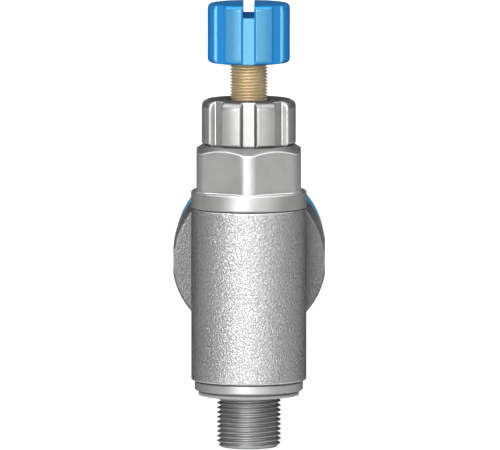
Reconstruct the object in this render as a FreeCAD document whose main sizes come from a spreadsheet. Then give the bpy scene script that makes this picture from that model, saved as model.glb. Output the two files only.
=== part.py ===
import FreeCAD, Part
import math
import os
import re
import Sketcher

# A one-way flow control valve: a hollow screw with an M5 thread, a swivelling body with a
# push-in tube fitting, a fine-thread needle screw with its knob and lock nut, and the seals.
# Millimetres. The screw's axis is +Z, the face that seals on the port is z = 0, and the
# tube fitting points along +Y.

doc = FreeCAD.newDocument("flow_control_valve")

# Numbers of repeats, and how close two lengths are when they count as the same
FLUTES = 8
FINGERS = 8
HEX_SIDES = 6
TOUCH = 0.001

SIZES = {
    # Port thread at the foot of the hollow screw
    "port_thread_radius": 2.465,
    "port_thread_length": 4.01,
    "port_thread_chamfer": 0.3,
    "port_relief_radius": 2.1,
    "port_bore_radius": 1.1,
    # Sealing ring and retaining ring under the swivel body
    "port_seal_step": 0.295,
    "port_seal_height": 0.378,
    "ring_step": 0.26,
    "ring_height": 0.722,
    "ring_seat_step": 0.485,
    "ring_chamfer": 0.08,
    # Shank of the hollow screw inside the swivel body
    "land_step": 0.34,
    "lower_land_height": 1.9,
    "upper_land_height": 2.1,
    "shank_radius": 2.3,
    "o_ring_section": 0.3,
    "o_ring_groove_width": 0.75,
    "lip_groove_depth": 0.25,
    "lip_groove_bottom": 5.3,
    "lip_groove_height": 1.6,
    "lip_foot": 0.32,
    "lip_tip": 0.26,
    "lip_valley_rise": 0.85,
    "lip_neck_wall": 0.85,
    "lip_heel_drop": 0.5,
    # Cross holes of the shank
    "cross_hole_radius": 0.55,
    # Collar and hexagon
    "collar_step": 0.01,
    "collar_height": 1.29,
    "collar_chamfer": 0.1,
    "hex_width": 8.0,
    "hex_corner_radius": 4.4,
    "hex_height": 3.54,
    "hex_top_radius": 3.58,
    "hex_chamfer_slope": 0.66,
    # Bore of the hollow screw: needle seat, needle chamber, needle thread
    "seat_bottom": 7.5,
    "seat_height": 0.9,
    "seat_radius": 0.6,
    "chamber_top": 15.0,
    "bore_mouth_chamfer": 0.15,
    # Needle screw
    "screw_radius": 1.465,
    "screw_pitch": 0.24,
    "screw_turns": 10.0,
    "screw_plug_radius": 1.25,
    "screw_stem_radius": 0.9,
    "screw_tip_radius": 0.12,
    "cone_height": 1.5,
    "stem_height": 1.35,
    "plug_stop_gap": 0.3,
    "needle_section": 0.2,
    "needle_groove_radius": 0.86,
    "needle_groove_width": 0.5,
    "needle_groove_rise": 0.7,
    # Lock nut
    "nut_radius": 3.68,
    "nut_height": 3.43,
    "nut_top_round": 0.58,
    "nut_bottom_chamfer": 0.19,
    "nut_flute_width": 1.34,
    "nut_flute_floor": 0.84,
    "nut_flute_depth": 0.52,
    "nut_edge_round": 0.16,
    # Knob on top of the needle screw
    "knob_gap": 2.84,
    "knob_radius": 3.21,
    "knob_height": 4.54,
    "knob_edge_round": 0.4,
    "knob_flute_width": 1.3,
    "knob_flute_floor": 0.84,
    "knob_flute_depth": 0.22,
    "knob_flute_round": 0.12,
    "knob_bore_depth": 2.9,
    "slot_width": 0.84,
    "slot_depth": 0.93,
    # Swivel body: the sleeve round the screw and the socket of the tube fitting
    "body_radius": 4.425,
    "body_length": 13.26,
    "body_edge_bevel": 0.08,
    "neck_inset": 0.425,
    "neck_round": 0.3,
    "socket_level": 9.78,
    "socket_radius": 5.94,
    "socket_flat_depth": 0.09,
    "socket_length": 7.65,
    "socket_edge_round": 0.2,
    "flow_hole_radius": 1.6,
    "tube_bore_radius": 3.06,
    "tube_stop": 6.4,
    "tube_seat_length": 1.6,
    "seal_chamber_length": 1.4,
    "socket_wall": 0.99,
    "seal_chamber_step": 0.45,
    # Pieces of the push-in cartridge
    "tube_seal_round": 0.25,
    "support_ring_height": 0.5,
    "grab_ring_step": 0.65,
    "grab_ring_sheet": 0.18,
    "grab_ring_height": 0.6,
    "grab_slot_width": 0.4,
    "cartridge_lip_height": 0.6,
    # Release ring that frees the tube when it is pressed
    "release_stroke": 0.8,
    "release_rest_gap": 0.1,
    "nose_wall": 0.69,
    "nose_gap": 0.1,
    "flange_step": 0.52,
    "release_neck_length": 1.9,
    "flange_radius": 5.82,
    "flange_length": 3.87,
    "flange_round": 0.4,
    "mouth_chamfer": 0.5,
    # Fits
    "axial_play": 0.05,
    "land_gap": 0.06,
    "swivel_gap": 0.115,
    "press_gap": 0.01,
    "seal_gap": 0.02,
    "thread_gap": 0.045,
    "needle_gap": 0.05,
    "nut_seat_gap": 0.03,
}

# Levels and places worked out from the sizes
PLACES = {
    "ring_seat_radius": "port_thread_radius + ring_seat_step",
    "land_radius": "ring_seat_radius + land_step",
    "body_bore_radius": "land_radius + land_gap",
    "ring_radius": "body_radius - ring_step",
    "port_seal_radius": "ring_radius - port_seal_step",
    "collar_radius": "body_radius + collar_step",
    "ring_bottom": "port_seal_height",
    "ring_top": "ring_bottom + ring_height",
    "body_bottom": "ring_top + axial_play",
    "body_top": "body_bottom + body_length",
    "collar_bottom": "body_top + axial_play",
    "collar_top": "collar_bottom + collar_height",
    "hex_top": "collar_top + hex_height",
    "lower_land_top": "ring_top + lower_land_height",
    "upper_land_bottom": "collar_bottom - upper_land_height",
    "lower_o_ring_level": "(ring_top + lower_land_top) / 2",
    "upper_o_ring_level": "(upper_land_bottom + collar_bottom) / 2",
    "o_ring_radius": "body_bore_radius - seal_gap - o_ring_section",
    "o_ring_groove_radius": "o_ring_radius - o_ring_section - press_gap",
    "lip_groove_radius": "shank_radius - lip_groove_depth",
    "lip_groove_top": "lip_groove_bottom + lip_groove_height",
    "lower_hole_level": "(lower_land_top + lip_groove_bottom) / 2",
    "seat_top": "seat_bottom + seat_height",
    "chamber_radius": "screw_plug_radius + needle_gap",
    "thread_bore_radius": "screw_radius + thread_gap",
    "screw_travel": "screw_pitch * screw_turns",
    "cone_slope": "(screw_stem_radius - screw_tip_radius) / cone_height",
    "cone_in_seat": "(seat_radius - seal_gap - screw_tip_radius) / cone_slope",
    "screw_tip": "seat_top - cone_in_seat + screw_travel",
    "cone_top": "screw_tip + cone_height",
    "stem_top": "cone_top + stem_height",
    "plug_top": "chamber_top + screw_travel + plug_stop_gap",
    "needle_groove_bottom": "stem_top + needle_groove_rise",
    "needle_groove_top": "needle_groove_bottom + needle_groove_width",
    "needle_o_ring_level": "(needle_groove_bottom + needle_groove_top) / 2",
    "needle_o_ring_radius": "needle_groove_radius + press_gap + needle_section",
    "nut_bottom": "hex_top + nut_seat_gap",
    "nut_top": "nut_bottom + nut_height",
    "knob_bottom": "nut_top + knob_gap",
    "knob_top": "knob_bottom + knob_height",
    "screw_top": "knob_bottom + knob_bore_depth",
    "neck_radius": "body_radius - neck_inset",
    "socket_near": "collar_radius + swivel_gap",
    "socket_far": "socket_near + socket_length",
    "cartridge_radius": "socket_radius - socket_wall",
    "seal_chamber_radius": "cartridge_radius - seal_chamber_step",
    "grab_ring_radius": "cartridge_radius - grab_ring_step",
    "nose_radius": "tube_bore_radius + nose_wall",
    "cartridge_lip_radius": "nose_radius + nose_gap",
    "release_neck_radius": "flange_radius - flange_step",
    "tube_seat_end": "tube_stop + tube_seat_length",
    "seal_chamber_end": "tube_seat_end + seal_chamber_length",
    "support_end": "seal_chamber_end + support_ring_height",
    "grab_end": "support_end + grab_ring_height",
    "nose_end": "grab_end + release_stroke + release_rest_gap",
    "release_near": "socket_far + release_stroke + release_rest_gap",
    "flange_near": "release_near + release_neck_length",
    "flange_far": "flange_near + flange_length",
}

sizes_sheet = doc.addObject("Spreadsheet::Sheet", "Sizes")
for row, (alias, value) in enumerate(SIZES.items(), start=1):
    sizes_sheet.set(f"A{row}", alias)
    sizes_sheet.set(f"B{row}", str(value))
    sizes_sheet.setAlias(f"B{row}", alias)
doc.recompute()


def bound(expression):
    """Point the plain words of an expression at the cells of the two sheets."""

    def cell(word):
        if word.group() in SIZES:
            return "Sizes." + word.group()
        if word.group() in PLACES:
            return "Places." + word.group()
        return word.group()

    return re.sub(r"\b[a-z]\w*\b", cell, expression)


places_sheet = doc.addObject("Spreadsheet::Sheet", "Places")
for row, (alias, expression) in enumerate(PLACES.items(), start=1):
    places_sheet.set(f"A{row}", alias)
    places_sheet.set(f"B{row}", "=" + bound(expression))
    places_sheet.setAlias(f"B{row}", alias)
    doc.recompute()


def number(expression):
    """The value in millimetres that an expression has now."""
    value = doc.Sizes.evalExpression(bound(expression))
    return float(getattr(value, "Value", value))


def new_body(label):
    body = doc.addObject("PartDesign::Body", label)
    body.Label = label
    return body


def origin_part(body, role):
    return next(part for part in body.Origin.OriginFeatures if part.Role == role)


def new_sketch(body, name, role, offset=None):
    """An empty sketch on one of the body's own origin planes, moved along the plane's normal."""
    sketch = body.newObject("Sketcher::SketchObject", name)
    sketch.AttachmentSupport = [(origin_part(body, role), "")]
    sketch.MapMode = "FlatFace"
    if offset:
        sketch.setExpression("AttachmentOffset.Base.z", bound(offset))
    return sketch


def tie_point(sketch, edge, end, across, up):
    """Tie one end of an edge to two expressions, measured from the sketch's origin."""
    for kind, axis, expression in (("DistanceX", -2, across), ("DistanceY", -1, up)):
        if expression == "0":
            sketch.addConstraint(Sketcher.Constraint("PointOnObject", edge, end, axis))
        else:
            value = number(expression)
            index = sketch.addConstraint(Sketcher.Constraint(kind, -1, 1, edge, end, value))
            sketch.setExpression(f"Constraints[{index}]", bound(expression))


def draw_outline(sketch, corners):
    """A closed outline of straight lines whose corners are pairs of expressions."""
    spots = [FreeCAD.Vector(number(across), number(up), 0) for across, up in corners]
    first = sketch.GeometryCount
    for here, there in zip(spots, spots[1:] + spots[:1]):
        sketch.addGeometry(Part.LineSegment(here, there))
    count = len(corners)
    for step, (across, up) in enumerate(corners):
        before = first + (step - 1) % count
        sketch.addConstraint(Sketcher.Constraint("Coincident", before, 2, first + step, 1))
        tie_point(sketch, first + step, 1, across, up)


def draw_circle(sketch, across, up, radius):
    centre = FreeCAD.Vector(number(across), number(up), 0)
    edge = sketch.addGeometry(Part.Circle(centre, FreeCAD.Vector(0, 0, 1), number(radius)))
    tie_point(sketch, edge, 3, across, up)
    index = sketch.addConstraint(Sketcher.Constraint("Radius", edge, number(radius)))
    sketch.setExpression(f"Constraints[{index}]", bound(radius))


def revolve(body, name, sketch, axis, cut):
    """Turn a sketch's outline through a whole circle, as a lathe does, to add or to cut."""
    before = body.Shape.Volume if cut else 0
    feature = body.newObject("PartDesign::Groove" if cut else "PartDesign::Revolution", name)
    feature.Profile = sketch
    feature.ReferenceAxis = (sketch, [axis])
    feature.Angle = 360
    doc.recompute()
    if cut and body.Shape.Volume >= before:
        raise ValueError(name + " cuts nothing")


def turn(body, name, corners, cut=False):
    """Turn an outline about the screw's axis. Its corners are (radius, level)."""
    sketch = new_sketch(body, name + "_outline", "XZ_Plane")
    draw_outline(sketch, corners)
    revolve(body, name, sketch, "V_Axis", cut)


def turn_fitting(body, name, corners, cut=False):
    """Turn an outline about the tube's axis. Its corners are (distance along Y, radius)."""
    sketch = new_sketch(body, name + "_outline", "YZ_Plane")
    sketch.setExpression("AttachmentOffset.Base.y", bound("socket_level"))
    draw_outline(sketch, corners)
    revolve(body, name, sketch, "H_Axis", cut)
    return sketch


def drill(body, name, sketch, reversed_side=False, both_sides=False, length=None):
    """Cut a sketch's outline through everything, or to a length, on one side or both."""
    before = body.Shape.Volume
    pocket = body.newObject("PartDesign::Pocket", name)
    pocket.Profile = sketch
    pocket.Midplane = both_sides
    pocket.Reversed = reversed_side
    if length:
        pocket.Type = 0
        pocket.setExpression("Length", bound(length))
    else:
        pocket.Type = 1
    doc.recompute()
    if body.Shape.Volume >= before:
        raise ValueError(name + " cuts nothing")
    return pocket


def repeat_round(body, name, feature, axis, count):
    """Repeat a feature at equal steps round an axis."""
    pattern = body.newObject("PartDesign::PolarPattern", name)
    pattern.Originals = [feature]
    pattern.Axis = axis
    pattern.Angle = 360
    pattern.Occurrences = count
    body.Tip = pattern
    doc.recompute()


def upright_axis(body):
    return (origin_part(body, "Z_Axis"), [""])


def edges_where(body, test):
    """The names of the body's edges that pass a test."""
    edges = enumerate(body.Shape.Edges, start=1)
    return [f"Edge{place}" for place, edge in edges if test(edge)]


def dress(body, kind, name, edges, size):
    """Round or bevel the named edges of the body."""
    base = body.Tip
    feature = body.newObject("PartDesign::" + kind, name)
    feature.Base = (base, edges)
    feature.setExpression("Radius" if kind == "Fillet" else "Size", bound(size))
    doc.recompute()


def ring_of_rubber(label, level, radius, section):
    """An O-ring round the screw's axis."""
    ring = doc.addObject("Part::Torus", label)
    ring.Label = label
    ring.setExpression("Radius1", bound(radius))
    ring.setExpression("Radius2", bound(section))
    ring.setExpression("Placement.Base.z", bound(level))
    doc.recompute()
    return ring


def is_round(edge, radius):
    return isinstance(edge.Curve, Part.Circle) and abs(edge.Curve.Radius - radius) < TOUCH


def is_upright(edge):
    height = edge.BoundBox.ZMax - edge.BoundBox.ZMin
    return isinstance(edge.Curve, Part.Line) and abs(height - edge.Length) < TOUCH


def make_banjo_bolt():
    """The hollow screw: turned all over, then drilled, bored and milled to a hexagon."""
    body = new_body("banjo_bolt")
    turn(body, "blank", [
        ("0", "-port_thread_length"),
        ("port_thread_radius - port_thread_chamfer", "-port_thread_length"),
        ("port_thread_radius", "port_thread_chamfer - port_thread_length"),
        ("port_thread_radius", "0"),
        ("port_relief_radius", "0"),
        ("port_relief_radius", "ring_bottom"),
        ("ring_seat_radius", "ring_bottom"),
        ("ring_seat_radius", "ring_top"),
        ("land_radius", "ring_top"),
        ("land_radius", "lower_land_top"),
        ("shank_radius", "lower_land_top"),
        ("shank_radius", "upper_land_bottom"),
        ("land_radius", "upper_land_bottom"),
        ("land_radius", "collar_bottom"),
        ("collar_radius", "collar_bottom"),
        ("collar_radius", "collar_top - collar_chamfer"),
        ("collar_radius - collar_chamfer", "collar_top"),
        ("hex_corner_radius", "collar_top"),
        ("hex_corner_radius", "hex_top - (hex_corner_radius - hex_top_radius) * hex_chamfer_slope"),
        ("hex_top_radius", "hex_top"),
        ("0", "hex_top"),
    ])
    turn(body, "lower_o_ring_groove", groove_corners("lower_o_ring_level"), cut=True)
    turn(body, "upper_o_ring_groove", groove_corners("upper_o_ring_level"), cut=True)
    turn(body, "lip_seal_groove", [
        ("lip_groove_radius", "lip_groove_bottom"),
        ("land_radius", "lip_groove_bottom"),
        ("land_radius", "lip_groove_top"),
        ("lip_groove_radius", "lip_groove_top"),
    ], cut=True)
    turn(body, "stepped_bore", [
        ("0", "-port_thread_length"),
        ("port_bore_radius + bore_mouth_chamfer", "-port_thread_length"),
        ("port_bore_radius", "bore_mouth_chamfer - port_thread_length"),
        ("port_bore_radius", "seat_bottom - port_bore_radius + seat_radius"),
        ("seat_radius", "seat_bottom"),
        ("seat_radius", "seat_top"),
        ("chamber_radius", "seat_top"),
        ("chamber_radius", "chamber_top"),
        ("thread_bore_radius", "chamber_top + thread_bore_radius - chamber_radius"),
        ("thread_bore_radius", "hex_top - bore_mouth_chamfer"),
        ("thread_bore_radius + bore_mouth_chamfer", "hex_top"),
        ("0", "hex_top"),
    ], cut=True)
    cross_holes(body, "lower_cross_hole", "lower_hole_level")
    cross_holes(body, "upper_cross_hole", "socket_level")
    mill_hexagon(body)
    return body


def groove_corners(level):
    return [
        ("o_ring_groove_radius", level + " - o_ring_groove_width / 2"),
        ("body_bore_radius", level + " - o_ring_groove_width / 2"),
        ("body_bore_radius", level + " + o_ring_groove_width / 2"),
        ("o_ring_groove_radius", level + " + o_ring_groove_width / 2"),
    ]


def cross_holes(body, name, level):
    """Two holes at right angles through the shank."""
    for role, word in (("XZ_Plane", "_front"), ("YZ_Plane", "_side")):
        sketch = new_sketch(body, name + word + "_circle", role)
        draw_circle(sketch, "0", level, "cross_hole_radius")
        drill(body, name + word, sketch, both_sides=True)


def mill_hexagon(body):
    """Mill six flats on the head, one corner towards -Y."""
    sketch = new_sketch(body, "flat_outline", "XY_Plane", "collar_top")
    draw_outline(sketch, [
        ("hex_width / 2", "-hex_width"),
        ("hex_width", "-hex_width"),
        ("hex_width", "hex_width"),
        ("hex_width / 2", "hex_width"),
    ])
    flat = drill(body, "hex_flat", sketch, reversed_side=True)
    repeat_round(body, "hex_flats", flat, upright_axis(body), HEX_SIDES)


def make_port_seal():
    """The flat ring that seals on the face of the port."""
    body = new_body("port_seal")
    turn(body, "ring", [
        ("port_thread_radius + seal_gap", "0"),
        ("port_seal_radius", "0"),
        ("port_seal_radius", "port_seal_height"),
        ("port_thread_radius + seal_gap", "port_seal_height"),
    ])
    return body


def make_retaining_ring():
    """The turned ring pressed on the screw that holds the swivel body on."""
    body = new_body("retaining_ring")
    turn(body, "ring", [
        ("ring_seat_radius + press_gap", "ring_bottom"),
        ("ring_radius - ring_chamfer", "ring_bottom"),
        ("ring_radius", "ring_bottom + ring_chamfer"),
        ("ring_radius", "ring_top - ring_chamfer"),
        ("ring_radius - ring_chamfer", "ring_top"),
        ("ring_seat_radius + press_gap", "ring_top"),
    ])
    return body


def make_lip_seal():
    """The check valve: a rubber collar whose lip opens towards the port."""
    body = new_body("lip_seal")
    inner = "lip_groove_radius + press_gap"
    low = "lip_groove_bottom + axial_play"
    high = "lip_groove_top - axial_play"
    turn(body, "lip_section", [
        (inner, low),
        ("lip_groove_radius + lip_foot", low),
        ("(lip_groove_radius + body_bore_radius) / 2", low + " + lip_valley_rise"),
        ("body_bore_radius - seal_gap - lip_tip", low),
        ("body_bore_radius - seal_gap", low),
        ("lip_groove_radius + lip_neck_wall", high + " - lip_heel_drop"),
        ("lip_groove_radius + lip_neck_wall", high),
        (inner, high),
    ])
    return body


def make_regulating_screw():
    """The brass needle screw: cone, stem, plug with its O-ring groove, and thread."""
    body = new_body("regulating_screw")
    turn(body, "blank", [
        ("0", "screw_tip"),
        ("screw_tip_radius", "screw_tip"),
        ("screw_stem_radius", "cone_top"),
        ("screw_stem_radius", "stem_top"),
        ("screw_plug_radius", "stem_top"),
        ("screw_plug_radius", "needle_groove_bottom"),
        ("needle_groove_radius", "needle_groove_bottom"),
        ("needle_groove_radius", "needle_groove_top"),
        ("screw_plug_radius", "needle_groove_top"),
        ("screw_plug_radius", "plug_top"),
        ("screw_radius", "plug_top + screw_radius - screw_plug_radius"),
        ("screw_radius", "screw_top - bore_mouth_chamfer"),
        ("screw_radius - bore_mouth_chamfer", "screw_top"),
        ("0", "screw_top"),
    ])
    return body


def flutes(body, word, reach, round_size):
    """Eight upright grooves with sloping walls round a turned blank, their edges rounded."""
    mouth = word + "_flute_width / 2"
    floor = word + "_flute_floor / 2"
    floor_level = "-(" + reach + " - " + word + "_flute_depth)"
    sketch = new_sketch(body, "flute_outline", "XY_Plane")
    draw_outline(sketch, [
        ("-" + mouth, "-" + reach),
        (mouth, "-" + reach),
        (floor, floor_level),
        ("-" + floor, floor_level),
    ])
    flute = drill(body, "flute", sketch, both_sides=True)
    repeat_round(body, "flutes", flute, upright_axis(body), FLUTES)
    radius = number(reach)
    outer = edges_where(body, lambda edge: stands_at(edge, radius))
    dress(body, "Fillet", "flute_edges", outer, round_size)


def stands_at(edge, radius):
    """Whether an upright edge stands at this distance from the screw's axis."""
    spot = edge.CenterOfMass
    return is_upright(edge) and abs(math.hypot(spot.x, spot.y) - radius) < TOUCH


def make_lock_nut():
    """The fluted nut that locks the needle screw, seated on the hexagon."""
    body = new_body("lock_nut")
    turn(body, "blank", [
        ("thread_bore_radius + bore_mouth_chamfer", "nut_bottom"),
        ("nut_radius - nut_bottom_chamfer", "nut_bottom"),
        ("nut_radius", "nut_bottom + nut_bottom_chamfer"),
        ("nut_radius", "nut_top"),
        ("thread_bore_radius + bore_mouth_chamfer", "nut_top"),
        ("thread_bore_radius", "nut_top - bore_mouth_chamfer"),
        ("thread_bore_radius", "nut_bottom + bore_mouth_chamfer"),
    ])
    radius = number("nut_radius")
    middle = number("nut_bottom + nut_height / 2")
    rim = edges_where(body, lambda edge: is_round(edge, radius) and edge.CenterOfMass.z > middle)
    dress(body, "Fillet", "top_round", rim, "nut_top_round")
    flutes(body, "nut", "nut_radius", "nut_edge_round")
    return body


def make_adjusting_knob():
    """The fluted knob on the needle screw, with a slot for a screwdriver."""
    body = new_body("adjusting_knob")
    turn(body, "blank", [
        ("screw_radius + press_gap", "knob_bottom"),
        ("knob_radius", "knob_bottom"),
        ("knob_radius", "knob_top"),
        ("0", "knob_top"),
        ("0", "screw_top + press_gap"),
        ("screw_radius + press_gap", "screw_top + press_gap"),
    ])
    rim = number("knob_radius")
    ends = edges_where(body, lambda edge: is_round(edge, rim))
    dress(body, "Fillet", "end_rounds", ends, "knob_edge_round")
    flutes(body, "knob", "knob_radius", "knob_flute_round")
    sketch = new_sketch(body, "slot_outline", "XZ_Plane")
    draw_outline(sketch, [
        ("-slot_width / 2", "knob_top - slot_depth"),
        ("slot_width / 2", "knob_top - slot_depth"),
        ("slot_width / 2", "knob_top + slot_depth"),
        ("-slot_width / 2", "knob_top + slot_depth"),
    ])
    drill(body, "driver_slot", sketch, both_sides=True)
    return body


def make_swivel_body():
    """The cast body: a sleeve round the screw, a short neck and the fitting's socket."""
    body = new_body("swivel_body")
    turn(body, "sleeve", [
        ("0", "body_bottom"),
        ("body_radius - body_edge_bevel", "body_bottom"),
        ("body_radius", "body_bottom + body_edge_bevel"),
        ("body_radius", "body_top - body_edge_bevel"),
        ("body_radius - body_edge_bevel", "body_top"),
        ("0", "body_top"),
    ])
    turn_fitting(body, "neck_and_socket", [
        ("0", "0"),
        ("0", "neck_radius"),
        ("socket_near", "neck_radius"),
        ("socket_near", "socket_radius"),
        ("socket_far", "socket_radius"),
        ("socket_far", "0"),
    ])
    rims = edges_where(body, lambda edge: is_round(edge, number("socket_radius")))
    dress(body, "Fillet", "socket_rims", rims, "socket_edge_round")
    foot = edges_where(body, lambda edge: is_round(edge, number("neck_radius")))
    dress(body, "Fillet", "neck_foot", foot, "neck_round")
    for side, word in (("", "right"), ("-", "left")):
        sketch = new_sketch(body, word + "_flat_outline", "XZ_Plane")
        draw_outline(sketch, [
            (side + "(socket_radius - socket_flat_depth)", "socket_level - socket_radius"),
            (side + "socket_radius", "socket_level - socket_radius"),
            (side + "socket_radius", "socket_level + socket_radius"),
            (side + "(socket_radius - socket_flat_depth)", "socket_level + socket_radius"),
        ])
        drill(body, word + "_flat", sketch, both_sides=True)
    # Above the sleeve the cut widens, so that the neck always ends clear of the collar
    turn(body, "screw_bore", [
        ("0", "body_bottom"),
        ("body_bore_radius", "body_bottom"),
        ("body_bore_radius", "body_top"),
        ("socket_near", "body_top"),
        ("socket_near", "body_top + neck_radius"),
        ("0", "body_top + neck_radius"),
    ], cut=True)
    turn_fitting(body, "fitting_bore", [
        ("0", "0"),
        ("0", "flow_hole_radius"),
        ("tube_stop", "flow_hole_radius"),
        ("tube_stop", "tube_bore_radius"),
        ("tube_seat_end", "tube_bore_radius"),
        ("tube_seat_end", "seal_chamber_radius"),
        ("seal_chamber_end", "seal_chamber_radius"),
        ("seal_chamber_end", "cartridge_radius"),
        ("socket_far", "cartridge_radius"),
        ("socket_far", "0"),
    ], cut=True)
    return body


def make_tube_seal():
    """The rubber ring that seals on the outside of the tube."""
    body = new_body("tube_seal")
    turn_fitting(body, "ring", [
        ("tube_seat_end + seal_gap", "tube_bore_radius + press_gap + tube_seal_round"),
        ("tube_seat_end + seal_gap + tube_seal_round", "tube_bore_radius + press_gap"),
        ("seal_chamber_end - seal_gap - tube_seal_round", "tube_bore_radius + press_gap"),
        ("seal_chamber_end - seal_gap", "tube_bore_radius + press_gap + tube_seal_round"),
        ("seal_chamber_end - seal_gap", "seal_chamber_radius - seal_gap - tube_seal_round"),
        ("seal_chamber_end - seal_gap - tube_seal_round", "seal_chamber_radius - seal_gap"),
        ("tube_seat_end + seal_gap + tube_seal_round", "seal_chamber_radius - seal_gap"),
        ("tube_seat_end + seal_gap", "seal_chamber_radius - seal_gap - tube_seal_round"),
    ])
    return body


def make_support_ring():
    """The flat ring that backs the tube seal."""
    body = new_body("support_ring")
    turn_fitting(body, "ring", [
        ("seal_chamber_end", "tube_bore_radius + seal_gap"),
        ("seal_chamber_end", "cartridge_radius - seal_gap"),
        ("support_end", "cartridge_radius - seal_gap"),
        ("support_end", "tube_bore_radius + seal_gap"),
    ])
    return body


def make_grab_ring():
    """The stainless spring ring whose slotted fingers grip the tube."""
    body = new_body("grab_ring")
    outline = turn_fitting(body, "cone", [
        ("support_end", "grab_ring_radius - grab_ring_sheet"),
        ("support_end", "grab_ring_radius"),
        ("support_end + grab_ring_sheet", "grab_ring_radius"),
        ("grab_end", "tube_bore_radius + seal_gap + grab_ring_sheet"),
        ("grab_end", "tube_bore_radius + seal_gap"),
    ])
    sketch = new_sketch(body, "slot_outline", "XY_Plane", "socket_level")
    draw_outline(sketch, [
        ("-grab_slot_width / 2", "support_end + grab_ring_sheet"),
        ("grab_slot_width / 2", "support_end + grab_ring_sheet"),
        ("grab_slot_width / 2", "socket_far"),
        ("-grab_slot_width / 2", "socket_far"),
    ])
    slot = drill(body, "finger_slot", sketch, reversed_side=True)
    repeat_round(body, "finger_slots", slot, (outline, ["H_Axis"]), FINGERS)
    return body


def make_cartridge_sleeve():
    """The brass sleeve pressed in the socket, with the cone that closes the grab ring."""
    body = new_body("cartridge_sleeve")
    turn_fitting(body, "sleeve", [
        ("support_end", "grab_ring_radius + seal_gap"),
        ("support_end", "cartridge_radius - press_gap"),
        ("socket_far", "cartridge_radius - press_gap"),
        ("socket_far", "cartridge_lip_radius"),
        ("socket_far - cartridge_lip_height", "cartridge_lip_radius"),
        ("grab_end", "grab_ring_radius + seal_gap"),
    ])
    return body


def make_release_ring():
    """The blue ring that is pressed towards the body to free the tube."""
    body = new_body("release_ring")
    turn_fitting(body, "ring", [
        ("nose_end", "tube_bore_radius"),
        ("nose_end", "nose_radius"),
        ("release_near", "nose_radius"),
        ("release_near", "release_neck_radius"),
        ("flange_near", "release_neck_radius"),
        ("flange_near", "flange_radius"),
        ("flange_far", "flange_radius"),
        ("flange_far", "tube_bore_radius + mouth_chamfer"),
        ("flange_far - mouth_chamfer", "tube_bore_radius"),
    ])
    rim = number("flange_radius")
    ends = edges_where(body, lambda edge: is_round(edge, rim))
    dress(body, "Fillet", "flange_rounds", ends, "flange_round")
    return body


PIECES = [
    make_banjo_bolt(),
    make_retaining_ring(),
    make_port_seal(),
    ring_of_rubber("lower_o_ring", "lower_o_ring_level", "o_ring_radius", "o_ring_section"),
    ring_of_rubber("upper_o_ring", "upper_o_ring_level", "o_ring_radius", "o_ring_section"),
    make_lip_seal(),
    make_swivel_body(),
    make_tube_seal(),
    make_support_ring(),
    make_grab_ring(),
    make_cartridge_sleeve(),
    make_release_ring(),
    ring_of_rubber("needle_o_ring", "needle_o_ring_level", "needle_o_ring_radius",
                   "needle_section"),
    make_regulating_screw(),
    make_adjusting_knob(),
    make_lock_nut(),
]
doc.recompute()

for thing in doc.Objects:
    if "Invalid" in thing.State or "Error" in thing.State:
        raise ValueError(f"{thing.Label} failed: {thing.State}")
for piece in PIECES:
    if piece.Shape.isNull() or not piece.Shape.isValid() or len(piece.Shape.Solids) != 1:
        raise ValueError(f"{piece.Label} is not one sound solid")

os.makedirs("parts", exist_ok=True)
for piece in PIECES:
    piece.Shape.exportStep(f"parts/{piece.Label}.step")
    print(f"{piece.Label}: {piece.Shape.Volume:.3f} mm3")
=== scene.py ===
import math

import bpy
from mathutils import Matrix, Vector


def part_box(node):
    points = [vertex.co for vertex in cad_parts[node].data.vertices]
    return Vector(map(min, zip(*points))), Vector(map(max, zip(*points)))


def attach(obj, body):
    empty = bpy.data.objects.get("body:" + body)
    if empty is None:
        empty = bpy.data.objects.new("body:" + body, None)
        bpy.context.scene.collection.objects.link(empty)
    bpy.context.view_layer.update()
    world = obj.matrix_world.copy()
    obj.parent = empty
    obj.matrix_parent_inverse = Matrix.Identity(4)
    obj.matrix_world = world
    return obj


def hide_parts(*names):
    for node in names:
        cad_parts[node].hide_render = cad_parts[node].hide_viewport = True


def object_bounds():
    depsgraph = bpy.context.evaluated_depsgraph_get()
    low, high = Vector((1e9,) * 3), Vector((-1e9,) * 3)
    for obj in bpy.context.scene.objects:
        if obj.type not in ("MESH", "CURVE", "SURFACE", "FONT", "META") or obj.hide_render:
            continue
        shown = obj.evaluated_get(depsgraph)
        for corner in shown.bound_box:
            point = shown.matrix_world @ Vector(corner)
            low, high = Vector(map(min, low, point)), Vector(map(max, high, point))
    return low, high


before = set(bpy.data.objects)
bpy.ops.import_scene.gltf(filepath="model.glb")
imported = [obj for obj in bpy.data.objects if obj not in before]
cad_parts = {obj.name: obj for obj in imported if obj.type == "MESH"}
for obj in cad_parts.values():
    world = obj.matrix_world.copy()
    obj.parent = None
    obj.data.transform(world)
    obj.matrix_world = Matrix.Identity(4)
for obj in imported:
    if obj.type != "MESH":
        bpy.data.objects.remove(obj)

cad_box = [list(corner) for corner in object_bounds()]
scene = bpy.context.scene
scene.view_settings.view_transform = "Standard"
MM = 0.001


# Camera: a long lens a little above the collar, square to the back of the tube fitting, as
# small fittings are photographed for a catalogue.
LOOK_AT = Vector((0.09 * MM, 0.0, 13.05 * MM))
CAMERA_AWAY = 0.92
CAMERA_RISE = math.radians(6.0)
CAMERA_TURN = math.radians(0.3)
CAMERA_LENS = 864
CAMERA_NEAR = 0.01
CAMERA_FAR = 20


def place_round(thing, away, turn, rise):
    """Put a lamp or the camera round the valve, facing it."""
    back = Vector((math.sin(turn) * math.cos(rise), -math.cos(turn) * math.cos(rise), math.sin(rise)))
    thing.location = LOOK_AT + back * away
    thing.rotation_euler = (-back).to_track_quat("-Z", "Y").to_euler()


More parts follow.
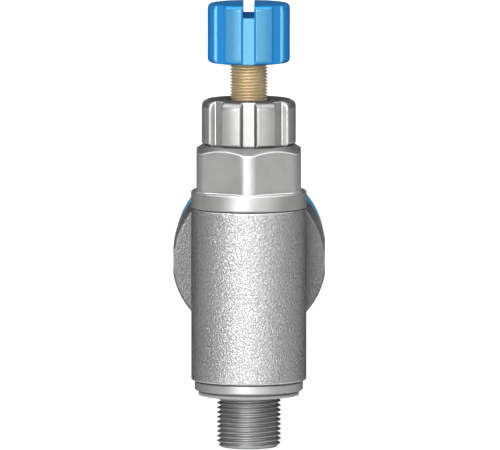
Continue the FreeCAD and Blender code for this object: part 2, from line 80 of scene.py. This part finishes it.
bpy.ops.object.camera_add()
camera = bpy.context.object
camera.data.lens = CAMERA_LENS
camera.data.clip_start = CAMERA_NEAR
camera.data.clip_end = CAMERA_FAR
place_round(camera, CAMERA_AWAY, CAMERA_TURN, CAMERA_RISE)
scene.camera = camera


# Lamps: a soft light left of the camera, a wide weak one behind the camera, one on the right,
# and a soft box above for the rounded upper edges and the hexagon's cone. The room is dim, so
# that the metal has one wide highlight down its front and goes dark towards its sides.
ROOM_COLOUR = (0.06, 0.06, 0.06, 1)
LAMPS = {
    # name: metres away, turn and rise in degrees, width and height in metres, watts
    "front_light": (1.5, -14, 12, 0.72, 0.9, 29.5),
    "wide_light": (1.6, 0, 14, 2.1, 1.2, 9.4),
    "right_light": (1.5, 35, 12, 0.6, 0.9, 6.4),
    "top_box": (1.3, 0, 84, 4.4, 1.3, 54.0),
}

for lamp_name, (away, turn, rise, width, height, watts) in LAMPS.items():
    bpy.ops.object.light_add(type="AREA")
    lamp = bpy.context.object
    lamp.name = lamp_name
    lamp.data.shape = "RECTANGLE"
    lamp.data.size = width
    lamp.data.size_y = height
    lamp.data.energy = watts
    place_round(lamp, away, math.radians(turn), math.radians(rise))

room = bpy.data.worlds.new("dim_room")
scene.world = room
room.use_nodes = True
room.node_tree.nodes["Background"].inputs["Color"].default_value = ROOM_COLOUR


# Floor: a plain pale sheet under the stud. Seen directly or in metal it is white paper, and it
# still takes the valve's soft shadow.
FLOOR_REACH = 1.6
FLOOR_SIDES = 96
FLOOR_DROP = 0.02 * MM
FLOOR_COLOUR = (0.3, 0.3, 0.3, 1)
FLOOR_GLOW = 0.8
GLOW_COLOUR = (1, 1, 1, 1)


def new_finish(name):
    """A new material, with the tree of its nodes and its shader."""
    finish = bpy.data.materials.new(name)
    finish.use_nodes = True
    return finish, finish.node_tree, finish.node_tree.nodes["Principled BSDF"]


def add(tree, kind, **settings):
    """A new shader node with its settings."""
    node = tree.nodes.new("ShaderNode" + kind)
    for key, value in settings.items():
        setattr(node, key, value)
    return node


def feed(tree, value, socket):
    """Give a socket a plain value, or join to it what another node puts out."""
    if isinstance(value, bpy.types.NodeSocket):
        tree.links.new(value, socket)
    else:
        socket.default_value = value


def maths(tree, operation, first, second):
    """The result of an operation on two values, each a number or a node's output."""
    node = add(tree, "Math", operation=operation)
    feed(tree, first, node.inputs[0])
    feed(tree, second, node.inputs[1])
    return node.outputs[0]


bpy.ops.mesh.primitive_circle_add(
    vertices=FLOOR_SIDES, radius=FLOOR_REACH, fill_type="NGON", location=(0, 0, cad_box[0][2] - FLOOR_DROP)
)
floor = bpy.context.object
floor.name = "floor"
white_paper, tree, shader = new_finish("white_paper")
shader.inputs["Base Color"].default_value = FLOOR_COLOUR
shader.inputs["Roughness"].default_value = 1.0
shader.inputs["Specular IOR Level"].default_value = 0.0
shader.inputs["Emission Color"].default_value = GLOW_COLOUR
ray = add(tree, "LightPath").outputs
seen = maths(tree, "MAXIMUM", ray["Is Camera Ray"], ray["Is Glossy Ray"])
seen_or_through = maths(tree, "MAXIMUM", seen, ray["Is Transmission Ray"])
feed(tree, maths(tree, "MULTIPLY", seen_or_through, FLOOR_GLOW), shader.inputs["Emission Strength"])
floor.data.materials.append(white_paper)


# Hollow screw: one turned bar of nickel-plated brass with the port thread, the shank, the
# collar and the hexagon. The thread is cut by a die, so it is a real helix here.
PORT_CREST = 2.465 * MM
PORT_DEPTH = 0.30 * MM
PORT_PITCH = 0.365 * MM
THREAD_FLAT = 0.08
THREAD_STEPS = 72
SPARE_TURNS = 2
DIE_SIDES = 96
DIE_WALL = 0.8 * MM
DIE_LEAD_IN = 0.05 * MM
DIE_PAST_END = 0.3 * MM
MERGE = 0.00002 * MM
CAD_MERGE = 0.0005 * MM
SMOOTH_BELOW = math.radians(28)
PLATED_GREY = (0.312, 0.31, 0.306, 1)
THREAD_GREY = (0.335, 0.332, 0.327, 1)
# Lightened edges: a painted highlight, partly rubbed wear.
EDGE_HIGHLIGHT_GREY = (0.78, 0.78, 0.772, 1)
EDGE_TINT = (0.03, 0.03, 0.03, 1)
STAIN_WIDTH = 2.381 * MM
STAIN_TONES = (0.9, 1.06)
# Most of a noise lies in its span, and its core holds the middle of it.
NOISE_SPAN = (0.3, 0.7)
NOISE_CORE = (0.35, 0.65)
# An edge is lightened, a painted highlight that partly stands for rubbed wear, where its rounded
# normal leans from the face's own by these cosines.
LIGHTENING_STARTS, LIGHTENING_FULL = 0.985, 0.93
EDGE_SAMPLES = 12
# The hexagon and the collar get the lightened edges, a painted highlight that partly stands for
# rubbed wear, down to just under the collar.
LIGHTENED_BELOW_COLLAR = 0.5 * MM


def only(piece):
    """Select one piece and nothing else."""
    bpy.ops.object.select_all(action="DESELECT")
    piece.select_set(True)
    bpy.context.view_layer.objects.active = piece


def cut(piece, tool):
    """Cut one solid away from another, and throw the tool away."""
    only(piece)
    boolean = piece.modifiers.new("cut", "BOOLEAN")
    boolean.operation = "DIFFERENCE"
    boolean.solver = "EXACT"
    boolean.object = tool
    bpy.ops.object.modifier_apply(modifier=boolean.name)
    bpy.data.objects.remove(tool)


def merged_copy(node, name):
    """A copy of a solid's own mesh, with its loose triangles sewn together."""
    piece = bpy.data.objects.new(name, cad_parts[node].data.copy())
    scene.collection.objects.link(piece)
    only(piece)
    bpy.ops.mesh.customdata_custom_splitnormals_clear()
    bpy.ops.object.mode_set(mode="EDIT")
    bpy.ops.mesh.select_all(action="SELECT")
    bpy.ops.mesh.remove_doubles(threshold=CAD_MERGE)
    bpy.ops.object.mode_set(mode="OBJECT")
    return piece


def threading_die(crest, depth, pitch, bottom, top):
    """A tube whose bore is a right-hand V thread: one pitch of the V, screwed up the axis."""
    start = (crest - depth, 0, bottom - SPARE_TURNS * pitch)
    bpy.ops.mesh.primitive_plane_add(size=pitch, location=start)
    rod = bpy.context.object
    bpy.ops.object.mode_set(mode="EDIT")
    bpy.ops.mesh.select_all(action="SELECT")
    bpy.ops.mesh.merge(type="CENTER")
    land = pitch * THREAD_FLAT
    flank = pitch / 2 - land
    for step in ((0, 0, land), (depth, 0, flank), (-depth, 0, flank), (0, 0, land)):
        bpy.ops.mesh.extrude_region_move(TRANSFORM_OT_translate={"value": step})
    bpy.ops.object.mode_set(mode="OBJECT")
    bpy.ops.object.transform_apply(location=True)
    screw = rod.modifiers.new("screw", "SCREW")
    screw.screw_offset = pitch
    screw.iterations = math.ceil((top - bottom) / pitch) + 2 * SPARE_TURNS
    screw.steps = screw.render_steps = THREAD_STEPS
    bpy.ops.object.modifier_apply(modifier=screw.name)
    bpy.ops.object.mode_set(mode="EDIT")
    bpy.ops.mesh.select_all(action="SELECT")
    bpy.ops.mesh.remove_doubles(threshold=MERGE)
    for level, keep_above in ((bottom - pitch / 2, True), (top + pitch / 2, False)):
        bpy.ops.mesh.select_all(action="SELECT")
        bpy.ops.mesh.bisect(
            plane_co=(0, 0, level), plane_no=(0, 0, 1), use_fill=True,
            clear_inner=keep_above, clear_outer=not keep_above, threshold=MERGE
        )
    bpy.ops.mesh.select_all(action="SELECT")
    bpy.ops.mesh.normals_make_consistent(inside=False)
    bpy.ops.object.mode_set(mode="OBJECT")
    bpy.ops.mesh.primitive_cylinder_add(
        vertices=DIE_SIDES, radius=crest + DIE_WALL, depth=top - bottom, location=(0, 0, (top + bottom) / 2)
    )
    die = bpy.context.object
    bpy.ops.object.transform_apply(location=True)
    cut(die, rod)
    return die


def finish_piece(piece, finish, body, node):
    """Shade a new piece, dress it, make it move with its body, and hide the solid it stands for."""
    only(piece)
    bpy.ops.object.shade_smooth_by_angle(angle=SMOOTH_BELOW)
    piece.data.materials.clear()
    piece.data.materials.append(finish)
    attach(piece, body)
    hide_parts(node)


def dress(node, finish):
    """Give a solid its finish and leave its mesh as it is."""
    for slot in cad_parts[node].material_slots:
        slot.material = finish


def place_on_piece(tree):
    """The place on the piece, in metres."""
    return add(tree, "TexCoord").outputs["Object"]


def split(tree, place):
    """The X, Y and Z of a place."""
    parts = add(tree, "SeparateXYZ")
    feed(tree, place, parts.inputs[0])
    return parts.outputs


def from_axis(tree, parts):
    """How far a place is from the upright axis, from its X and Y."""
    flat = add(tree, "CombineXYZ")
    feed(tree, parts["X"], flat.inputs["X"])
    feed(tree, parts["Y"], flat.inputs["Y"])
    length = add(tree, "VectorMath", operation="LENGTH")
    feed(tree, flat.outputs[0], length.inputs[0])
    return length.outputs["Value"]


def noise(tree, place, scale, detail, rough=0.5, twist=0.0):
    """A noise over the piece. The scale is how many of its patches go into a metre."""
    patches = add(tree, "TexNoise")
    feed(tree, place, patches.inputs["Vector"])
    feed(tree, scale, patches.inputs["Scale"])
    patches.inputs["Detail"].default_value = detail
    patches.inputs["Roughness"].default_value = rough
    patches.inputs["Distortion"].default_value = twist
    return patches.outputs["Fac"]


def ramp(tree, source, span, result=(0.0, 1.0)):
    """Turn a value, as it goes over a span, into one that goes from one result to the other."""
    mapped = add(tree, "MapRange", clamp=True)
    feed(tree, source, mapped.inputs["Value"])
    for key, value in zip(("From Min", "From Max", "To Min", "To Max"), (*span, *result)):
        mapped.inputs[key].default_value = value
    return mapped.outputs["Result"]


def blend(tree, first, second, share):
    """A colour that goes from the first to the second as the share goes from 0 to 1."""
    mixed = add(tree, "Mix", data_type="RGBA")
    feed(tree, first, mixed.inputs["A"])
    feed(tree, second, mixed.inputs["B"])
    feed(tree, share, mixed.inputs["Factor"])
    return mixed.outputs["Result"]


def toned(tree, colour, tone):
    """A colour times a tone. The colour is plain, a node's output or a function that builds it."""
    mixed = add(tree, "Mix", data_type="RGBA", blend_type="MULTIPLY")
    feed(tree, colour(tree) if callable(colour) else colour, mixed.inputs["A"])
    feed(tree, tone, mixed.inputs["B"])
    mixed.inputs["Factor"].default_value = 1.0
    return mixed.outputs["Result"]


def relief(tree, height, depth, normal):
    """A normal for a fine relief that lies on a surface with a normal of its own."""
    bump = add(tree, "Bump")
    bump.inputs["Strength"].default_value = 1.0
    bump.inputs["Distance"].default_value = depth
    feed(tree, height, bump.inputs["Height"])
    feed(tree, normal, bump.inputs["Normal"])
    return bump.outputs[0]


def as_metal(shader, share=1.0):
    """Make a shader metal, wholly or in part, without a white flare where it is seen edge on."""
    shader.inputs["Metallic"].default_value = share
    shader.inputs["Specular Tint"].default_value = EDGE_TINT


def new_group(name, given, results):
    """Nodes that several finishes share: the group, what it is given and where results go."""
    group = bpy.data.node_groups.new(name, "ShaderNodeTree")
    for way, sockets in (("INPUT", given), ("OUTPUT", results)):
        for socket_name, kind in sockets.items():
            group.interface.new_socket(socket_name, in_out=way, socket_type="NodeSocket" + kind)
    return group, group.nodes.new("NodeGroupInput").outputs, group.nodes.new("NodeGroupOutput").inputs


def lathe_lines():
    """Fine rings left by the tool on what was turned about the upright axis, and stains."""
    group, given, result = new_group(
        "lathe_lines", {"Ring Width": "Float"}, {"Rings": "Float", "Stain": "Float"}
    )
    place = place_on_piece(group)
    parts = split(group, place)
    ringed = add(group, "CombineXYZ")
    feed(group, from_axis(group, parts), ringed.inputs["X"])
    feed(group, parts["Z"], ringed.inputs["Z"])
    rings_per_metre = maths(group, "DIVIDE", 1.0, given["Ring Width"])
    feed(group, noise(group, ringed.outputs[0], rings_per_metre, detail=2.0), result["Rings"])
    feed(group, noise(group, place, 1 / STAIN_WIDTH, detail=4.0), result["Stain"])
    return group


def edges_rounded_and_lit():
    """Normals that round the edges off, and where these edges are lightened: a painted highlight, partly
    rubbed wear.
    """
    group, given, result = new_group(
        "edges_rounded_and_lit", {"Width": "Float"}, {"Wear And Highlight": "Float", "Normal": "Vector"}
    )
    rounded = add(group, "Bevel", samples=EDGE_SAMPLES)
    feed(group, given["Width"], rounded.inputs["Radius"])
    agree = add(group, "VectorMath", operation="DOT_PRODUCT")
    feed(group, rounded.outputs[0], agree.inputs[0])
    feed(group, add(group, "NewGeometry").outputs["Normal"], agree.inputs[1])
    feed(group, ramp(group, agree.outputs["Value"], (LIGHTENING_STARTS, LIGHTENING_FULL)), result["Wear And Highlight"])
    feed(group, rounded.outputs[0], result["Normal"])
    return group


LATHE_LINES = lathe_lines()
EDGE_ROUNDING_AND_LIGHT = edges_rounded_and_lit()


def lighten_edges(tree, colour, width, amount, lowest):
    """The colour with its edges above a level lightened as a painted highlight, partly rubbed wear, and the
    rounded normal.
    """
    edge_node = add(tree, "Group", node_tree=EDGE_ROUNDING_AND_LIGHT)
    edge_node.inputs["Width"].default_value = width
    above = maths(tree, "GREATER_THAN", split(tree, place_on_piece(tree))["Z"], lowest)
    lit_share = maths(tree, "MULTIPLY", above, amount)
    wear_and_highlight = maths(tree, "MULTIPLY", edge_node.outputs["Wear And Highlight"], lit_share)
    return blend(tree, colour, EDGE_HIGHLIGHT_GREY, wear_and_highlight), edge_node.outputs["Normal"]


def turned_finish(
    name, colour, ring_width, ring_height, roughness, edge_width=0.1 * MM, wear_and_highlight=0.0, lowest=0.0
):
    """Bright turned metal: its colour, tool rings, uneven polish and slightly broken edges, lightened as a
    painted highlight that partly stands for rubbed wear.
    """
    finish, tree, shader = new_finish(name)
    lines = add(tree, "Group", node_tree=LATHE_LINES)
    lines.inputs["Ring Width"].default_value = ring_width
    rings = lines.outputs["Rings"]
    stained = toned(tree, colour, ramp(tree, lines.outputs["Stain"], NOISE_CORE, STAIN_TONES))
    worn_and_lit, rounded = lighten_edges(tree, stained, edge_width, wear_and_highlight, lowest)
    feed(tree, worn_and_lit, shader.inputs["Base Color"])
    feed(tree, ramp(tree, rings, NOISE_SPAN, roughness), shader.inputs["Roughness"])
    feed(tree, relief(tree, rings, ring_height, rounded), shader.inputs["Normal"])
    as_metal(shader)
    return finish


def bar_or_thread(tree):
    """Dark bloom of the plating above the port face, lighter cut metal on the thread below."""
    level = split(tree, place_on_piece(tree))["Z"]
    return blend(tree, PLATED_GREY, THREAD_GREY, maths(tree, "LESS_THAN", level, 0.0))


under_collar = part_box("swivel_body")[1].z - LIGHTENED_BELOW_COLLAR
plated_metal = turned_finish(
    "plated_metal", bar_or_thread, ring_width=0.05 * MM, ring_height=0.0012 * MM,
    roughness=(0.44, 0.50), edge_width=0.19 * MM, wear_and_highlight=0.9, lowest=under_collar
)
hollow_screw = merged_copy("banjo_bolt", "hollow_screw")
port_die = threading_die(PORT_CREST, PORT_DEPTH, PORT_PITCH, cad_box[0][2] - DIE_PAST_END, DIE_LEAD_IN)
cut(hollow_screw, port_die)
finish_piece(hollow_screw, plated_metal, "bolt", "banjo_bolt")


# Retaining ring: a smooth turned ring that holds the body up on the screw. It has no skin of
# casting, so its highlight is even.
RING_GREY = (0.335, 0.333, 0.328, 1)

ring_metal = turned_finish(
    "ring_metal", RING_GREY, ring_width=0.06 * MM, ring_height=0.0008 * MM, roughness=(0.46, 0.51)
)
dress("retaining_ring", ring_metal)


# Lock nut: fluted round nut of the same plated bar, run down on the hexagon to hold the needle.
# The edges of its lands are lightened, a painted highlight that partly stands for rubbed wear, though
# less than those of the hexagon.
nut_metal = turned_finish(
    "nut_metal", PLATED_GREY, ring_width=0.05 * MM, ring_height=0.001 * MM,
    roughness=(0.42, 0.48), edge_width=0.16 * MM, wear_and_highlight=0.6
)
dress("lock_nut", nut_metal)


# Swivel body: a zinc casting, tumbled but not polished. Its skin is finely pitted and a little
# streaked, dull on the back of the socket and smooth where the socket was turned. The back of the
# socket is painted darker as painted shade, and its edges are lightened, a painted highlight that
# partly stands for rubbed wear.
SLEEVE_GREY = (0.308, 0.308, 0.31, 1)
# Painted shade: the back of the socket is painted darker than the sleeve.
SOCKET_SHADE_GREY = (0.139, 0.14, 0.141, 1)
TURNED_GREY = (0.27, 0.27, 0.272, 1)
# How far outside the sleeve the socket's finish starts, and how far behind the axis its
# turned side does.
SOCKET_OUTSIDE_SLEEVE = 0.016 * MM
SOCKET_FADE = 0.03 * MM
TURNED_BEHIND_AXIS = 4.75 * MM
TURNED_FADE = 0.05 * MM
# The pits are deepest on the sleeve. The socket has a share of that depth, its turned side less.
PIT_WIDTH = 0.13 * MM
PIT_STRETCH = 0.7
PIT_DEPTH = 0.067 * MM
PIT_SPAN = (0.32, 0.68)
PIT_TONES = (0.76, 1.18)
SOCKET_PITS = 0.65
TURNED_PITS = 0.2
CLOUD_WIDTH = 0.9 * MM
CAST_ROUGHNESS = (0.30, 0.37)
SOCKET_DULLER = 0.14
CAST_EDGE = 0.18 * MM

sleeve_radius = -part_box("swivel_body")[0].y
socket_starts = sleeve_radius + SOCKET_OUTSIDE_SLEEVE
cast_metal, tree, shader = new_finish("cast_metal")
place = place_on_piece(tree)
parts = split(tree, place)
on_socket = ramp(tree, from_axis(tree, parts), (socket_starts, socket_starts + SOCKET_FADE))
turned_side = ramp(tree, parts["Y"], (TURNED_BEHIND_AXIS, TURNED_BEHIND_AXIS + TURNED_FADE))
back_face = maths(tree, "SUBTRACT", on_socket, turned_side)
drawn_out = add(tree, "VectorMath", operation="MULTIPLY")
feed(tree, place, drawn_out.inputs[0])
drawn_out.inputs[1].default_value = (1.0, 1.0, PIT_STRETCH)
pits = noise(tree, drawn_out.outputs[0], 1 / PIT_WIDTH, detail=3.0, rough=0.6, twist=0.6)
clouds = noise(tree, place, 1 / CLOUD_WIDTH, detail=3.0)

# Painted shade on the back of the socket; its turned side keeps its own grey.
socket_grey_with_shade = blend(tree, SOCKET_SHADE_GREY, TURNED_GREY, turned_side)
cast_grey = blend(tree, SLEEVE_GREY, socket_grey_with_shade, on_socket)
specked = toned(tree, cast_grey, ramp(tree, pits, PIT_SPAN, PIT_TONES))
# The sleeve's edges get the same painted highlight, partly rubbed wear.
worn_and_lit, rounded = lighten_edges(tree, specked, CAST_EDGE, amount=1.0, lowest=0.0)
feed(tree, worn_and_lit, shader.inputs["Base Color"])

cast_gloss = ramp(tree, clouds, NOISE_CORE, CAST_ROUGHNESS)
duller = maths(tree, "MULTIPLY", back_face, SOCKET_DULLER)
feed(tree, maths(tree, "ADD", cast_gloss, duller), shader.inputs["Roughness"])

socket_skin = ramp(tree, on_socket, (0.0, 1.0), (1.0, SOCKET_PITS))
turned_skin = ramp(tree, turned_side, (0.0, 1.0), (1.0, TURNED_PITS))
skin = maths(tree, "MULTIPLY", socket_skin, turned_skin)
pitted = relief(tree, maths(tree, "MULTIPLY", pits, skin), PIT_DEPTH, rounded)
feed(tree, pitted, shader.inputs["Normal"])
as_metal(shader)
dress("swivel_body", cast_metal)


# Port seal: a grey moulded washer, pressed flat between the screw and the port. Its upper half is
# painted nearly black: painted shade.
SEAL_GREY = (0.24, 0.24, 0.238, 1)
SEAL_DARK_SHADE = (0.05, 0.05, 0.05, 1)
SHADE_BLEND = 0.04 * MM
GRAIN_TONES = (0.93, 1.07)
GLOSS_SWING = 0.04
MOULD_EDGE = 0.06 * MM
MOULD_SAMPLES = 6

seal_low, seal_high = (corner.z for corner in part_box("port_seal"))
seal_middle = (seal_low + seal_high) / 2


def moulded_finish(name, colour, rough, grain_width, grain_height, shine=0.5, metal_share=0.0):
    """Moulded plastic or rubber: colour (or what builds it), a faint grain and uneven gloss."""
    finish, tree, shader = new_finish(name)
    grain = noise(tree, place_on_piece(tree), 1 / grain_width, detail=3.0)
    grained = toned(tree, colour, ramp(tree, grain, NOISE_SPAN, GRAIN_TONES))
    gloss = ramp(tree, grain, NOISE_SPAN, (rough - GLOSS_SWING, rough + GLOSS_SWING))
    rounded = add(tree, "Bevel", samples=MOULD_SAMPLES)
    rounded.inputs["Radius"].default_value = MOULD_EDGE
    feed(tree, grained, shader.inputs["Base Color"])
    feed(tree, gloss, shader.inputs["Roughness"])
    feed(tree, relief(tree, grain, grain_height, rounded.outputs[0]), shader.inputs["Normal"])
    shader.inputs["Specular IOR Level"].default_value = shine
    if metal_share:
        as_metal(shader, metal_share)
    return finish


def shade_over_washer(tree):
    """Painted shade, nearly black, above the middle of the seal, and the grey washer below."""
    level = split(tree, place_on_piece(tree))["Z"]
    return blend(tree, SEAL_GREY, SEAL_DARK_SHADE, ramp(tree, level, (seal_middle, seal_middle + SHADE_BLEND)))


seal_with_shade = moulded_finish(
    "seal_with_shade", shade_over_washer, rough=0.6, grain_width=0.08 * MM, grain_height=0.002 * MM
)
dress("port_seal", seal_with_shade)


# Rubber seals: black nitrile rings on the screw, the needle and the tube, with a soft sheen.
# The lip seal is of the same rubber.
NITRILE = (0.018, 0.018, 0.019, 1)

black_rubber = moulded_finish(
    "black_rubber", NITRILE, rough=0.5, grain_width=0.05 * MM, grain_height=0.001 * MM
)
for ring in ("lower_o_ring", "upper_o_ring", "needle_o_ring", "lip_seal", "tube_seal"):
    dress(ring, black_rubber)


# Push-in cartridge: a pale plastic backing ring, a slotted ring of bright spring steel and a
# brass sleeve that is pressed into the socket.
PLASTIC = (0.62, 0.60, 0.55, 1)
STEEL = (0.5, 0.49, 0.47, 1)
BRASS = (0.66, 0.56, 0.38, 1)

pale_plastic = moulded_finish(
    "pale_plastic", PLASTIC, rough=0.4, grain_width=0.07 * MM, grain_height=0.001 * MM
)
dress("support_ring", pale_plastic)
spring_steel = turned_finish(
    "spring_steel", STEEL, ring_width=0.04 * MM, ring_height=0.0005 * MM, roughness=(0.25, 0.33)
)
dress("grab_ring", spring_steel)
brass = turned_finish(
    "brass", BRASS, ring_width=0.05 * MM, ring_height=0.0008 * MM,
    roughness=(0.54, 0.62), edge_width=0.02 * MM
)
dress("cartridge_sleeve", brass)


# Release ring: blue acetal, pushed in to let the tube go. It is satin, a little darker than
# the knob.
ACETAL_BLUE = (0.005, 0.16, 0.30, 1)

satin_blue = moulded_finish(
    "satin_blue", ACETAL_BLUE, rough=0.38, grain_width=0.09 * MM, grain_height=0.0015 * MM, shine=0.25
)
dress("release_ring", satin_blue)


# Needle screw: turned brass with a fine thread, cut by a die as well. Under the thread it is
# smooth and slides in the screw's bore.
NEEDLE_DEPTH = 0.19 * MM
NEEDLE_PITCH = 0.24 * MM
THREAD_IN_BORE = 1.69 * MM

needle_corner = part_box("regulating_screw")[1]
bore_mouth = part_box("banjo_bolt")[1].z
needle_screw = merged_copy("regulating_screw", "needle_screw")
needle_die = threading_die(
    needle_corner.x, NEEDLE_DEPTH, NEEDLE_PITCH, bore_mouth - THREAD_IN_BORE, needle_corner.z + DIE_LEAD_IN
)
cut(needle_screw, needle_die)
finish_piece(needle_screw, brass, "needle", "regulating_screw")


# Knob: blue, with a painted highlight that pales it where it is seen square on and painted shade that
# darkens it edge on, moulded with eight shallow flutes and a screwdriver slot, and fixed on top of the
# needle screw.
PAINTED_HIGHLIGHT_BLUE = (0.083, 0.24, 0.345, 1)
KNOB_BLUE = (0.0225, 0.215, 0.52, 1)
PAINTED_EDGE_SHADE = (0.022, 0.145, 0.345, 1)
HIGHLIGHT_SPAN = (0.0, 0.3)
EDGE_DARKENING = (0.6, 0.9)


def lit_and_shaded_blue(tree):
    """Painted highlight, pale where the surface faces the eye; deep blue where it turns away; painted
    shade, dark edge on.
    """
    slant = add(tree, "LayerWeight").outputs["Facing"]
    facing = blend(tree, PAINTED_HIGHLIGHT_BLUE, KNOB_BLUE, ramp(tree, slant, HIGHLIGHT_SPAN))
    return blend(tree, facing, PAINTED_EDGE_SHADE, ramp(tree, slant, EDGE_DARKENING))


blue_with_painted_light = moulded_finish(
    "blue_with_painted_light", lit_and_shaded_blue, rough=0.34, grain_width=0.12 * MM, grain_height=0.001 * MM,
    shine=0.0, metal_share=0.5
)
dress("adjusting_knob", blue_with_painted_light)
